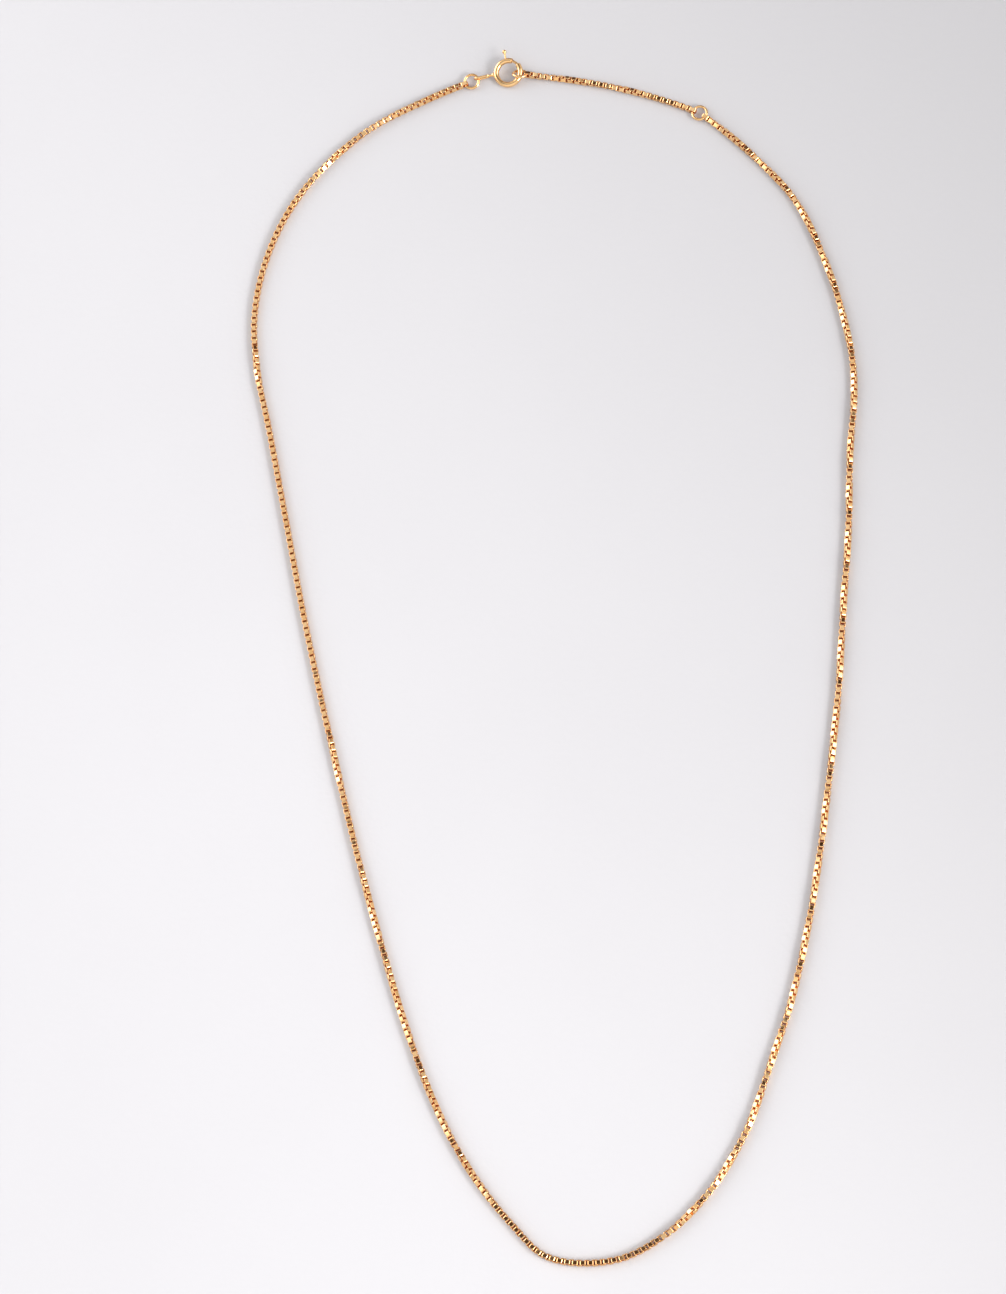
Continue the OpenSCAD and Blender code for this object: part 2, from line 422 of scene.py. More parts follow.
def broad_normal(vert: bmesh.types.BMVert) -> Vector:
    """Normal of a vertex where the broad flats stay flat and only the bends blend.

    Args:
        vert: The vertex.

    Returns:
        Its direction, which the broadest of its faces decides.
    """
    total = Vector()
    for face in vert.link_faces:
        total += face.normal * face.calc_area() ** 3
    return total.normalized()


def finish_mesh(piece: bpy.types.Object, place: Matrix, limit: float) -> None:
    """Cleans a piece's mesh and puts it in its place in the frame, in metres.

    Args:
        piece: The piece, in its own millimetres.
        place: Its frame, in millimetres.
        limit: The angle past which its edges stay sharp, in degrees.
    """
    bm = bmesh.new()
    bm.from_mesh(piece.data)
    bmesh.ops.remove_doubles(bm, verts=bm.verts, dist=MERGE)
    bmesh.ops.recalc_face_normals(bm, faces=bm.faces)
    soften(bm, limit)
    bmesh.ops.transform(bm, matrix=Matrix.Scale(MM, 4) @ place, verts=bm.verts)
    bm.to_mesh(piece.data)
    bm.free()


def disc(bm: bmesh.types.BMesh, radius: float, sides: int, place: Matrix) -> list:
    """Adds a round outline to a mesh.

    Args:
        bm: The mesh.
        radius: The outline's radius.
        sides: How many sides it has.
        place: Its frame. It is drawn in the XY plane of that frame.

    Returns:
        Its vertices and edges.
    """
    ring = bmesh.ops.create_circle(bm, segments=sides, radius=radius, matrix=place)["verts"]
    return ring + list({edge for vert in ring for edge in vert.link_edges})


def rod_arc(
    bm: bmesh.types.BMesh, bend: float, radius: float, start: float, end: float, sides: int
) -> None:
    """Adds a round rod that bends about Z, open at both ends.

    Args:
        bm: The mesh.
        bend: Radius of the rod's middle line.
        radius: The rod's own radius.
        start: Where it starts, in degrees from X.
        end: Where it ends, in degrees from X.
        sides: How many sides it has.
    """
    upright = Matrix.Translation((bend, 0, 0)) @ quarter_turn("X")
    outline = disc(bm, radius, sides, turn_about_z(start) @ upright)
    bmesh.ops.spin(
        bm,
        geom=outline,
        cent=(0, 0, 0),
        axis=(0, 0, 1),
        angle=math.radians(end - start),
        steps=max(ROD_FEWEST, round(abs(end - start) / ROD_STEP)),
        use_merge=False,
    )


def close_ends(bm: bmesh.types.BMesh) -> list[bmesh.types.BMFace]:
    """Closes every open outline of a mesh with a face, and returns those faces."""
    open_edges = [edge for edge in bm.edges if edge.is_boundary]
    return bmesh.ops.holes_fill(bm, edges=open_edges, sides=0)["faces"]


def round_edges(bm: bmesh.types.BMesh, edges: Iterable, width: float, segments: int) -> None:
    """Rounds some edges.

    Args:
        bm: The mesh.
        edges: The edges.
        width: How far the rounding reaches.
        segments: How many steps it has.
    """
    bmesh.ops.bevel(
        bm,
        geom=list(edges),
        offset=width,
        affect="EDGES",
        segments=segments,
        profile=0.5,
        material=-1,
        clamp_overlap=True,
    )


def round_rims(bm: bmesh.types.BMesh, faces: Iterable, width: float) -> None:
    """Rounds the edges around some faces, such as a rod's ends."""
    rims = {edge for face in faces for edge in face.edges}
    round_edges(bm, rims, width, segments=3)


# Shaders


class Socket:
    """A value in a shader, used in ordinary Python arithmetic."""

    def __init__(self, shader: "Shader", link: bpy.types.NodeSocket) -> None:
        """Wraps a node's output.

        Args:
            shader: The shader that the node is in.
            link: The output.
        """
        self.shader = shader
        self.link = link

    def _with(self, operation: str, first: "Value", second: "Value") -> "Socket":
        """Adds a Math node for two numbers or sockets."""
        return self.shader.node("ShaderNodeMath", {"operation": operation}, {0: first, 1: second})

    def __add__(self, other: "Value") -> "Socket":
        """self + other."""
        return self._with("ADD", self, other)

    __radd__ = __add__

    def __sub__(self, other: "Value") -> "Socket":
        """self - other."""
        return self._with("SUBTRACT", self, other)

    def __rsub__(self, other: "Value") -> "Socket":
        """other - self."""
        return self._with("SUBTRACT", other, self)

    def __mul__(self, other: "Value") -> "Socket":
        """self * other."""
        return self._with("MULTIPLY", self, other)

    __rmul__ = __mul__

    def __abs__(self) -> "Socket":
        """Size of self, without its sign."""
        return self._with("ABSOLUTE", self, 0.0)

    def between(self, low: float, high: float) -> "Socket":
        """A smooth step from 0 at low to 1 at high."""
        return self.shader.node(
            "ShaderNodeMapRange",
            {"interpolation_type": "SMOOTHSTEP"},
            {"Value": self, "From Min": low, "From Max": high},
        )


# What goes into a node's input
Value = Socket | float | Triple


class Noise(NamedTuple):
    """A soft pattern of spots.

    Attributes:
        scale: How close its spots lie.
        detail: How many finer patterns lie in it.
    """

    scale: float
    detail: float = 2.0


class Shader:
    """A material's or the world's nodes."""

    def __init__(self, owner: bpy.types.Material | bpy.types.World) -> None:
        """Starts with no nodes.

        Args:
            owner: The material or world.
        """
        owner.use_nodes = True
        self.tree = owner.node_tree
        self.tree.nodes.clear()

    def node(
        self,
        kind: str,
        settings: dict[str, object] | None = None,
        sockets: dict[str | int, Value] | None = None,
        output: str | int = 0,
    ) -> Socket:
        """Adds a node.

        Args:
            kind: The node's type.
            settings: Its own settings, which are set first.
            sockets: What goes into its inputs.
            output: The output that is wanted.

        Returns:
            That output.
        """
        made = self.tree.nodes.new(kind)
        for name, value in (settings or {}).items():
            setattr(made, name, value)
        for name, value in (sockets or {}).items():
            if isinstance(value, Socket):
                self.tree.links.new(value.link, made.inputs[name])
            else:
                made.inputs[name].default_value = value
        return Socket(self, made.outputs[output] if made.outputs else None)

    def mix(self, share: Value, first: Value, second: Value) -> Socket:
        """Mixes two colours.

        Args:
            share: How much of the second there is.
            first: A colour or socket.
            second: A colour or socket.

        Returns:
            The mixed colour.
        """
        inputs = {0: share, 6: first, 7: second}
        inputs = {k: (*v, 1.0) if isinstance(v, tuple) else v for k, v in inputs.items()}
        return self.node("ShaderNodeMix", {"data_type": "RGBA"}, inputs, output=2)

    def vector(self, operation: str, *values: Value, output: str | int = 0) -> Socket:
        """Works on vectors.

        Args:
            operation: What a Vector Math node does.
            values: Its inputs.
            output: The output that is wanted.

        Returns:
            That output.
        """
        return self.node(
            "ShaderNodeVectorMath", {"operation": operation}, dict(enumerate(values)), output
        )

    def noise(self, where: Socket, pattern: Noise) -> Socket:
        """A soft pattern's value at a place, between 0 and 1."""
        sockets = {"Vector": where, "Scale": pattern.scale, "Detail": pattern.detail}
        return self.node("ShaderNodeTexNoise", {}, sockets)

    def here(self) -> Socket:
        """The shaded point, in the object's own coordinates in metres."""
        return self.node("ShaderNodeTexCoord", output="Object")

    def attribute(self, name: str, output: str) -> Socket:
        """A value kept on the piece's mesh."""
        return self.node("ShaderNodeAttribute", {"attribute_name": name}, output=output)

    def bump(self, height: Socket, depth: float) -> Socket:
        """A relief in the surface's normal, from a height of 0 to 1 and its depth in metres."""
        sockets = {"Strength": 1.0, "Distance": depth, "Height": height}
        return self.node("ShaderNodeBump", {}, sockets)

    def surface(self, **sockets: Value) -> None:
        """Ends a material in a Principled shader.

        Args:
            sockets: What goes into its inputs, with _ for each space in a name.
        """
        named = {name.replace("_", " "): value for name, value in sockets.items()}
        shader = self.node("ShaderNodeBsdfPrincipled", {}, named)
        self.node("ShaderNodeOutputMaterial", {}, {"Surface": shader})


class Polish(Enum):
    """How a gold surface was worked."""

    ROLLED = "rolled strip"
    DRAWN = "drawn wire"
    BUFFED = "buffed casting"


class Grain(NamedTuple):
    """Fine marks that working the metal leaves.

    Attributes:
        marks: Their pattern.
        stretch: How much closer they lie along each axis.
        turn: How far they are turned about each axis, in radians.
    """

    marks: Noise
    stretch: Triple
    turn: Triple = (0.0, 0.0, 0.0)


GRAINS = {
    Polish.ROLLED: Grain(Noise(1.6, 4.0), (1.2, 1.2, 26.0)),
    Polish.DRAWN: Grain(Noise(2.0, 4.0), (2.2, 2.2, 14.0)),
    Polish.BUFFED: Grain(Noise(1.4, 5.0), (1.0, 17.0, 6.0), (0.4, 0.2, 0.9)),
}


@dataclass(frozen=True)
class Gold:
    """Gold plating in one state of polish.

    Attributes:
        name: The material's name.
        polish: How the surface was worked.
        light: Colour of the plating.
        deep: Colour where the plating is thinner and redder.
        recess_shade: Painted shade inside the links: a deep red-brown that stands in
            for the shade and the light bounced between the gold walls there.
        recess_shade_at: Distance from the chain's middle line where that painted
            shade starts, and where it is complete.
        roughness: Roughness of the clean metal.
        wear: How much roughness the rubbed places add.
        grain_blur: How much roughness the grain adds.
        recess_blur: How much roughness the unpolished inside of the links adds.
        relief: Depth of the grain, in millimetres.
        apart: How far apart in the patterns two links can lie.
        patches: Pattern of deeper colour where there are no links.
        cloud: Pattern of rubbed places.
        rubbed: The cloud's value where rubbing starts and is complete.
        pits: Pattern of small pits in a casting.
        shares: How much of the deeper colour the tone and the cloud give, and
            how much is taken off.
        deepening: Where the deeper colour starts and is complete.
    """

    name: str
    polish: Polish
    light: Colour = (0.945, 0.615, 0.305)
    deep: Colour = (0.885, 0.515, 0.215)
    # Painted shade for the links' insides
    recess_shade: Colour = (0.72, 0.195, 0.03)
    recess_shade_at: tuple[float, float] = (0.375, 0.33)
    roughness: float = 0.07
    wear: float = 0.07
    grain_blur: float = 0.04
    recess_blur: float = 0.30
    relief: float = 0.0009
    apart: float = 90.0
    patches: Noise = Noise(0.35)
    cloud: Noise = Noise(1.3, 3.0)
    rubbed: tuple[float, float] = (0.48, 0.72)
    pits: Noise = Noise(3.1, 3.0)
    shares: Triple = (0.7, 0.6, 0.15)
    deepening: tuple[float, float] = (0.15, 0.95)

    def material(self) -> bpy.types.Material:
        """Builds the material.

        Returns:
            The material.
        """
        made = bpy.data.materials.new(self.name)
        shader = Shader(made)
        inside: Value = 0.0
        if self.polish is Polish.ROLLED:
            strip = shader.attribute("strip", "Vector")
            tone = shader.attribute("tone", "Fac")
            where = shader.vector("ADD", strip, tone * self.apart)
            across = shader.node("ShaderNodeSeparateXYZ", {}, {"Vector": strip}, "Y")
            # Painted shade: this mask turns the links' insides to the recess colour; it also
            # makes them rougher
            inside = abs(across).between(*self.recess_shade_at)
        else:
            where = shader.vector("MULTIPLY", shader.here(), (1 / MM, 1 / MM, 1 / MM))
            tone = shader.noise(where, self.patches)
        grain = self._grain(shader, where)
        cloud = shader.noise(where, self.cloud)
        worn = cloud.between(*self.rubbed)
        of_tone, of_cloud, less = self.shares
        depth = (tone * of_tone + cloud * of_cloud - less).between(*self.deepening)
        plating = shader.mix(depth, self.light, self.deep)
        blur = worn * self.wear + grain * self.grain_blur + inside * self.recess_blur
        shader.surface(
            Base_Color=shader.mix(inside, plating, self.recess_shade),
            Metallic=1.0,
            Roughness=blur + self.roughness,
            Normal=shader.bump(grain, self.relief * MM),
        )
        return made

    def _grain(self, shader: Shader, where: Socket) -> Socket:
        """Fine marks on the surface.

        Args:
            shader: The material's shader.
            where: The shaded point, in millimetres.

        Returns:
            Their height, from 0 to 1.
        """
        grain = GRAINS[self.polish]
        sockets = {"Vector": where, "Rotation": grain.turn, "Scale": grain.stretch}
        marks = shader.noise(shader.node("ShaderNodeMapping", {}, sockets), grain.marks)
        if self.polish is Polish.BUFFED:
            return marks * 0.5 + shader.noise(where, self.pits) * 0.5
        return marks


@dataclass(frozen=True)
class Paper:
    """The pale surface that the necklace lies on.

    Attributes:
        colour: Its colour.
        shade: The colour of its faint clouding.
        cloud: Pattern of that clouding.
        clouded: The pattern's value where clouding starts and is complete.
        clouding: How much of the shade the clouding brings.
        far: Painted shade: the darker colour that it turns to towards the
            loop's far right, standing in for light falling off there.
        towards: Direction in which that painted shade deepens.
        far_from: Distance from the middle, in metres, where that starts.
        far_at: Distance where it is complete.
        tooth: Pattern of its fine tooth.
        tooth_depth: Depth of that, in metres.
        roughness: Its roughness.
    """

    colour: Colour = (0.590, 0.582, 0.596)
    shade: Colour = (0.569, 0.560, 0.574)
    cloud: Noise = Noise(18.0, 3.0)
    clouded: tuple[float, float] = (0.35, 0.75)
    clouding: float = 0.5
    far: Colour = (0.336, 0.330, 0.337)
    towards: Triple = (0.91, 0.41, 0.0)
    far_from: float = -0.075
    far_at: float = 0.205
    tooth: Noise = Noise(900.0, 4.0)
    tooth_depth: float = 0.00004
    roughness: float = 0.85

    def material(self) -> bpy.types.Material:
        """Builds the material.

        Returns:
            The material.
        """
        made = bpy.data.materials.new("pale_paper")
        shader = Shader(made)
        where = shader.here()
        clouds = shader.noise(where, self.cloud).between(*self.clouded)
        # Painted shade: the surface darkens towards the loop's far right, standing in for light
        # falling off
        along = shader.vector("DOT_PRODUCT", where, self.towards, output="Value")
        painted_falloff = along.between(self.far_from, self.far_at)
        pale = shader.mix(clouds * self.clouding, self.colour, self.shade)
        shader.surface(
            Base_Color=shader.mix(painted_falloff, pale, self.far),
            Roughness=self.roughness,
            Normal=shader.bump(shader.noise(where, self.tooth), self.tooth_depth),
        )
        return made


# Chain


@dataclass
class BoxChain:
    """A run of box links between two rings.

    Attributes:
        name: The piece's name, which is also the node's.
        route: The line that it follows.
        turns: Its twist at chosen places.
        finish: The links' finish.
        width: Width across a link.
        length: Outside length of a link.
        strip: Width of the flat of the strip that a link is bent from.
        ridge: How far the strip's rounded edges stand out past the flat.
        thickness: Thickness of the strip.
        bend: Outside radius of a link's bends.
        bend_steps: How many flats a bend has.
        crease: Angle past which an edge stays sharp, in degrees.
        pitch: Distance from one link to the next.
        end_length: Outside length of the end links, which hold the rings.
        end_at: Distance from a ring's middle to its end link's.
        second_at: Distance from a ring's middle to the second link's.
        ring_height: Height of the chain's middle at its rings.
        ease: Length over which the chain comes down from that height.
        play: How far a link usually tips on its own, in degrees.
        seed: Start of the random draws.
    """

    name: str
    route: Route
    turns: list[Turn]
    finish: bpy.types.Material
    width: float = 1.0
    length: float = 1.0
    strip: float = 0.54
    ridge: float = 0.045
    thickness: float = 0.19
    bend: float = 0.23
    bend_steps: int = 2
    crease: float = 75.0
    pitch: float = 0.60
    end_length: float = 1.22
    end_at: float = 1.288
    second_at: float = 2.03
    ring_height: float = 0.57
    ease: float = 5.0
    play: float = 1.1
    seed: int = 7

    def link(self, length: float) -> bpy.types.Mesh:
        """Shapes one link in its own frame.

        Args:
            length: Its outside length.

        Returns:
            A rounded box of strip, with X along the chain and Z along the
            link's window.
        """
        bm = bmesh.new()
        bmesh.ops.create_cube(bm, size=1.0)
        bmesh.ops.scale(bm, vec=(length, self.width, self.strip), verts=bm.verts)
        window = [face for face in bm.faces if abs(face.normal.z) > UPRIGHT]
        bmesh.ops.delete(bm, geom=window, context="FACES_ONLY")
        corners = [edge for edge in bm.edges if abs(edge_direction(edge).z) > UPRIGHT]
        round_edges(bm, corners, self.bend, self.bend_steps)
        bmesh.ops.solidify(bm, geom=bm.faces[:], thickness=self.thickness)
        bmesh.ops.recalc_face_normals(bm, faces=bm.faces)
        self._raise_rims(bm)
        soften(bm, self.crease)
        return mesh_of(bm, "link")

    def _raise_rims(self, bm: bmesh.types.BMesh) -> None:
        """Draws the middle of the strip's cut edges outwards, which rounds them.

        Args:
            bm: The link's mesh.
        """
        rims = [face for face in bm.faces if abs(face.normal.z) > UPRIGHT]
        lengthwise = {edge for face in bm.faces if face not in rims for edge in face.edges}
        across = {edge for face in rims for edge in face.edges if edge not in lengthwise}
        split = bmesh.ops.subdivide_edges(bm, edges=list(across), cuts=1)
        for vert in set(verts_in(split["geom_inner"])):
            vert.co.z += math.copysign(self.ridge, vert.co.z)

    def places(self) -> list[float]:
        """Length run to each link.

        Returns:
            The lengths, in order, for an even number of equal steps between
            the second link and the last but one.
        """
        run = self.route.length - 2 * self.second_at
        steps = 2 * round(run / self.pitch / 2)
        inner = [self.second_at + run * k / steps for k in range(steps + 1)]
        return [self.end_at, *inner, self.route.length - self.end_at]

    def reach(self, twist: float) -> float:
        """How far the chain reaches below its middle.

        Args:
            twist: Its twist there, in radians.

        Returns:
            The distance.
        """
        wide, narrow = self.width / 2, self.strip / 2 + self.ridge
        c, s = abs(math.cos(twist)), abs(math.sin(twist))
        return max(wide * c + narrow * s, wide * s + narrow * c)

    def height(self, run: float, twist: float) -> float:
        """Height of the chain's middle, so that it lies on the surface.

        Args:
            run: Length run to the place.
            twist: The chain's twist there, in radians.

        Returns:
            The height, which eases up to the rings at both ends.
        """
        near = min(run, self.route.length - run)
        share = max(0.0, 1.0 - near / self.ease)
        at_ring = share * share * (3 - 2 * share)
        lying = self.reach(twist)
        held = max(self.route.at(run).z, self.ring_height)
        return lying + (held - lying) * at_ring if near < self.ease else lying

    def frame_at(self, run: float, index: int) -> Matrix:
        """Frame of one link.

        Args:
            run: Length run to the link.
            index: Its number, which turns every other link by a quarter.

        Returns:
            Its frame, in millimetres.
        """
        twist = twist_at(self.turns, run)
        ahead = self.route.heading(run)
        left = Vector((-ahead.y, ahead.x, 0)).normalized()
        up = ahead.cross(left)
        turn = twist + index * math.pi / 2
        window = left * math.cos(turn) + up * math.sin(turn)
        at = self.route.at(run)
        at.z = self.height(run, twist)
        return axes_at(at, ahead, window.cross(ahead), window)

    def build(self) -> bpy.types.Object:
        """Draws every link as one mesh.

        Returns:
            The piece.
        """
        draw = random.Random(self.seed)
        runs = self.places()
        shapes = {True: self.link(self.end_length), False: self.link(self.length)}
        bm = bmesh.new()
        strip: list[float] = []
        tones: list[float] = []
        for index, run in enumerate(runs):
            at_end = index in (0, len(runs) - 1)
            play = 0.0 if at_end else math.radians(self.play)
            tip = Euler([draw.gauss(0.0, play) for _ in range(3)]).to_matrix().to_4x4()
            shape = shapes[at_end].copy()
            tone = draw.random()
            for vert in shape.vertices:
                strip.extend(vert.co)
                tones.append(tone)
            shape.transform(self.frame_at(run, index) @ tip)
            bm.from_mesh(shape)
            bpy.data.meshes.remove(shape)
        bm.normal_update()
        normals = [broad_normal(vert) for vert in bm.verts]
        bmesh.ops.transform(bm, matrix=Matrix.Scale(MM, 4), verts=bm.verts)
        mesh = mesh_of(bm, self.name)
        mesh.normals_split_custom_set_from_vertices(normals)
        mesh.attributes.new("strip", "FLOAT_VECTOR", "POINT").data.foreach_set("vector", strip)
        mesh.attributes.new("tone", "FLOAT", "POINT").data.foreach_set("value", tones)
        mesh.materials.append(self.finish)
        piece = shown(mesh, f"{self.name}_links")
        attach(piece, Body.NECKLACE.value)
        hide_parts(self.name)
        LOG.info("%s: %d links", piece.name, len(runs))
        return piece


# Rings


@dataclass
class JumpRing:
    """A ring of round wire, bent until its ends meet.

    Attributes:
        node: The node that it stands for.
        finish: Its finish.
        joint_at: Where the wire's ends meet, in degrees from the ring's X.
        outside: Outside diameter.
        wire: Wire diameter.
        sides: How many sides the wire has.
        parting: Width of the fine gap between the wire's ends.
        rounding: How far the wire's ends are rounded.
        slack: How far the ring is out of round.
        lobes: How many times round the ring that comes and goes.
        lobes_from: Where it starts, in radians.
        crease: Angle past which an edge stays sharp, in degrees.
    """

    node: str
    finish: bpy.types.Material
    joint_at: float
    outside: float = 2.8
    wire: float = 0.45
    sides: int = 24
    parting: float = 0.03
    rounding: float = 0.03
    slack: float = 0.012
    lobes: int = 3
    lobes_from: float = 0.7
    crease: float = 40.0

    def build(self) -> bpy.types.Object:
        """Bends the wire into the ring.

        Returns:
            The piece.
        """
        bend = (self.outside - self.wire) / 2
        half_gap = math.degrees(self.parting / 2 / bend)
        start, end = self.joint_at + half_gap, self.joint_at + 360 - half_gap
        bm = bmesh.new()
        rod_arc(bm, bend, self.wire / 2, start, end, self.sides)
        round_rims(bm, close_ends(bm), self.rounding)
        for vert in bm.verts:
            around = math.atan2(vert.co.y, vert.co.x)
            wave = math.sin(self.lobes / 2 * around + self.lobes_from)
            vert.co.xy *= 1 - self.slack * wave**2
        piece = shown(mesh_of(bm, self.node), f"{self.node}_wire")
        piece.data.materials.append(self.finish)
        finish_mesh(piece, flat_frame(self.node), self.crease)
        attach(piece, Body.NECKLACE.value)
        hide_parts(self.node)
        LOG.info("%s: wire ring", piece.name)
        return piece


# Clasp


@dataclass
class SpringRing:
    """The clasp: a hollow ring with a mouth, its eye, and the sprung bolt.

    Places are angles in degrees about the clasp's own middle, counted from its X.

    Attributes:
        body_finish: Finish of the ring and eye.
        bolt_finish: Finish of the bolt and trigger.
        outside: Outside diameter of the ring.
        tube: Diameter of the ring's tube.
        tube_sides: How many sides the tube has.
        wall: Wall of the tube.
        tube_rounding: How far the tube's cut edges are rounded.
        tube_edge: Angle past which an edge of the tube is rounded, in degrees.
        mouth: Where the mouth starts and ends.
        trigger_at: Place of the trigger with the mouth closed.
        slot_to: Where the trigger stops when it is pulled back.
        slot_sides: Sides of the tube that the slot takes above and below.
        slot_margin: How far past those it still counts, in degrees.
        slot_play: Clearance from the stem to the slot's ends.
        bolt_tip: Where the bolt ends, past the mouth.
        bolt_tail: Arc of the bolt behind the trigger, in degrees.
        bolt: Diameter of the bolt.
        bolt_rounding: How far the bolt's ends are rounded.
        stem: Diameter of the trigger's stem.
        flare: Widths of the stem under the ball, each as a share of its own,
            and how far below the ball's underside they are.
        foot: Width where the ball starts, as a share of the stem's.
        ball: Diameter of the trigger's ball.
        ball_rise: Height of the ball's middle above the tube.
        ball_steps: How many rows of faces the ball has.
        eye_at: Place of the eye on the ring.
        eye_bearing: Direction of the eye.
        eye: Outside length and height of the eye.
        eye_wire: Wire diameter of the eye.
        eye_sides: How many sides that wire has.
        eye_steps: How many steps half a turn of the eye has.
        neck: Length and diameter of the neck.
        neck_taper: Its diameter at the eye, as a share of that at the ring.
        bead: Diameter of the bead of solder.
        bead_rows: How many rows of faces the bead has.
        sides: How many sides the bolt, the trigger, the neck and the bead have.
        voxel: Fineness of the soldered skin.
        smoothing: Strength and number of the passes that smooth it.
        body_crease: Angle past which the body's edges stay sharp, in degrees.
        bolt_crease: Angle past which the bolt's edges stay sharp, in degrees.
        bend: Radius of the tube's middle line.
        place: The clasp's frame, in millimetres.
    """

    body_finish: bpy.types.Material
    bolt_finish: bpy.types.Material
    outside: float = 5.0
    tube: float = 0.9
    tube_sides: int = 36
    wall: float = 0.14
    tube_rounding: float = 0.03
    tube_edge: float = 50.0
    mouth: tuple[float, float] = (36.0, 69.0)
    trigger_at: float = 98.0
    slot_to: float = 139.0
    slot_sides: int = 3
    slot_margin: float = 2.0
    slot_play: float = 0.08
    bolt_tip: float = 28.0
    bolt_tail: float = 8.0
    bolt: float = 0.46
    bolt_rounding: float = 0.08
    stem: float = 0.3
    flare: tuple[tuple[float, float], ...] = ((1.0, 0.12), (1.06, 0.03))
    foot: float = 1.25
    ball: float = 0.7
    ball_rise: float = 1.16
    ball_steps: int = 14
    eye_at: float = 183.0
    eye_bearing: float = 187.0
    eye: tuple[float, float] = (2.9, 1.4)
    eye_wire: float = 0.35
    eye_sides: int = 20
    eye_steps: int = 24
    neck: tuple[float, float] = (0.55, 0.46)
    neck_taper: float = 0.86
    bead: float = 0.76
    bead_rows: int = 20
    sides: int = 32
    voxel: float = 0.03
    smoothing: tuple[float, int] = (0.5, 8)
    body_crease: float = 45.0
    bolt_crease: float = 50.0
    bend: float = field(init=False)
    place: Matrix = field(init=False)

    def __post_init__(self) -> None:
        """Reads the clasp's place from the bolt's joint."""
        joint = frame["joints"][0]
        self.bend = (self.outside - self.tube) / 2
        self.place = ring_frame(Vector(joint["pos_m"]) / MM, Vector(joint["axis"]).normalized())

    def _in_slot(self, face: bmesh.types.BMFace) -> bool:
        """Whether a face of the tube lies where the trigger's slot is cut.

        Args:
            face: The face.

        Returns:
            True if it does.
        """
        past = (self.stem / 2 + self.slot_play) / (self.outside / 2 - self.wall)
        past = math.degrees(math.asin(past))
        rise = 360 / self.tube_sides * self.slot_sides + self.slot_margin
        centre = face.calc_center_median()
        angle = math.degrees(math.atan2(centre.y, centre.x)) % 360
        along = self.trigger_at - past < angle < self.slot_to + past
        beside = abs(centre.z) < self.tube / 2 * math.sin(math.radians(rise))
        return centre.xy.length > self.bend and along and beside

    def _ring(self) -> bpy.types.Object:
        """Bends the hollow tube, with its mouth and the trigger's slot.

        Returns:
            The tube.
        """
        bm = bmesh.new()
        rod_arc(bm, self.bend, self.tube / 2, self.mouth[1], self.mouth[0] + 360, self.tube_sides)
        slot = [face for face in bm.faces if self._in_slot(face)]
        bmesh.ops.delete(bm, geom=slot, context="FACES")
        bmesh.ops.recalc_face_normals(bm, faces=bm.faces)
        outer = [f for f in bm.faces if f.calc_center_median().xy.length > self.bend]
        if sum(face.normal.dot(face.calc_center_median()) for face in outer) < 0:
            bmesh.ops.reverse_faces(bm, faces=bm.faces)
        piece = shown(mesh_of(bm, "clasp"), "clasp_body_gold")
        add_modifier(piece, "SOLIDIFY", thickness=self.wall, offset=-1.0, use_even_offset=True)
        add_modifier(
            piece,
            "BEVEL",
            width=self.tube_rounding,
            segments=2,
            limit_method="ANGLE",
            angle_limit=math.radians(self.tube_edge),
        )
        return applied(piece)

    def _loop(self, bm: bmesh.types.BMesh) -> None:
        """Adds the long loop of the eye, upright, with its length along X.

        Args:
            bm: The mesh.
        """
        length, height = self.eye
        bend = (height - self.eye_wire) / 2
        straight = length - height
        start = Matrix.Translation((-straight / 2, 0, bend)) @ quarter_turn("Y")
        outline = disc(bm, self.eye_wire / 2, self.eye_sides, start)
        for side in (1, -1):
            made = bmesh.ops.extrude_edge_only(bm, edges=edges_in(outline))["geom"]
            bmesh.ops.translate(bm, vec=(side * straight, 0, 0), verts=verts_in(made))
            turned = bmesh.ops.spin(
                bm,
                geom=[part for part in made if not isinstance(part, bmesh.types.BMFace)],
                cent=(side * straight / 2, 0, 0),
                axis=(0, 1, 0),
                angle=math.pi,
                steps=self.eye_steps,
                use_merge=False,
            )
            outline = turned["geom_last"]
        bmesh.ops.remove_doubles(bm, verts=bm.verts, dist=MERGE)
        bmesh.ops.recalc_face_normals(bm, faces=bm.faces)

    def _eye(self) -> bpy.types.Object:
        """Solders the bead, neck and eye into one smooth skin.

        Returns:
            The skin, in the clasp's own frame.
        """
        root = turn_about_z(self.eye_at) @ Vector((self.outside / 2, 0, 0))
        bearing = Matrix.Translation(root) @ turn_about_z(self.eye_bearing)
        length, diameter = self.neck
        bm = bmesh.new()
        self._loop(bm)
        out = bearing @ Matrix.Translation((length + self.eye[0] / 2, 0, 0))
        bmesh.ops.transform(bm, matrix=out, verts=bm.verts)
        eye = shown(mesh_of(bm, "eye"), "eye")
        bm = bmesh.new()
        reach = length + self.eye_wire / 2
        bmesh.ops.create_cone(
            bm,
            cap_ends=True,
            segments=self.sides,
            radius1=diameter / 2,
            radius2=diameter / 2 * self.neck_taper,
            depth=reach,
            matrix=bearing @ Matrix.Translation((reach / 2, 0, 0)) @ quarter_turn("Y"),
        )
        fused(eye, shown(mesh_of(bm, "neck"), "neck"))
        bm = bmesh.new()
        bmesh.ops.create_uvsphere(
            bm,
            u_segments=self.sides,
            v_segments=self.bead_rows,
            radius=self.bead / 2,
            matrix=Matrix.Translation(root),
        )
        fused(eye, shown(mesh_of(bm, "bead"), "bead"))
        strength, passes = self.smoothing
        add_modifier(eye, "REMESH", mode="VOXEL", voxel_size=self.voxel)
        add_modifier(eye, "SMOOTH", factor=strength, iterations=passes)
        return applied(eye)

